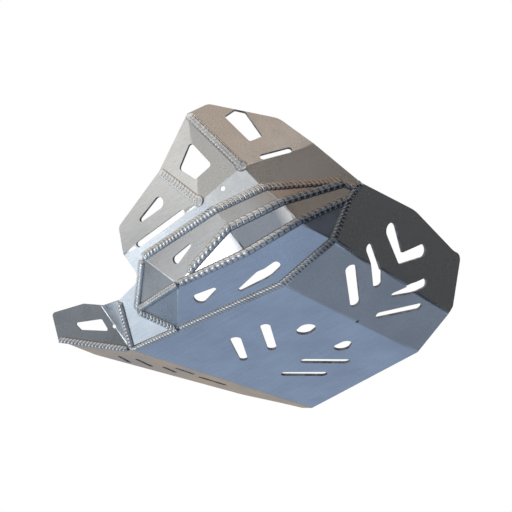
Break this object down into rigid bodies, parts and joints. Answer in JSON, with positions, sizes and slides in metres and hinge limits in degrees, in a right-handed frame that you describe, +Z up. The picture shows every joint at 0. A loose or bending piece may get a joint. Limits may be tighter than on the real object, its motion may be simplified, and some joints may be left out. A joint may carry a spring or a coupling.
{
  "type": "motorcycle skid plate",
  "caption": "Slotted belly and nose guard of bent aluminium sheet, with welded facets that bulge around the exhaust at the front left.",
  "frame": {"origin": "middle of the bounding box at its lowest face, under the belly", "axes": "+X points to the front of the motorcycle, +Y to its left side, +Z up"},
  "size_m": [0.367, 0.3812, 0.1633],
  "materials": {
    "belly_sheet": "rolled aluminium sheet, fine grain across the bike, satin",
    "cheek_sheet": "rolled aluminium sheet, satin",
    "front_sheet": "rolled aluminium sheet, bright satin",
    "wing_sheet": "rolled aluminium sheet, satin with a faint warm tone",
    "guard_sheet": "rolled aluminium sheet, satin, slightly dulled beside the welds",
    "weld_bead": "rippled aluminium weld metal, semi-bright"
  },
  "bodies": {
    "root": {"belly_plate": "belly_sheet", "centre_plate": "front_sheet", "front_plate": "front_sheet", "guard_lower": "guard_sheet", "guard_middle": "guard_sheet", "guard_upper": "guard_sheet", "left_plate": "wing_sheet", "right_front_plate": "cheek_sheet", "weld_belly_front": "weld_bead", "weld_belly_guard": "weld_bead", "weld_centre_right": "weld_bead", "weld_guard_corner": "weld_bead", "weld_guard_foot": "weld_bead", "weld_guard_lower": "weld_bead", "weld_guard_side": "weld_bead", "weld_guard_top": "weld_bead", "weld_guard_upper": "weld_bead", "weld_left_centre": "weld_bead", "weld_left_side": "weld_bead", "weld_right_chine": "weld_bead", "weld_right_front": "weld_bead"}
  },
  "joints": []
}
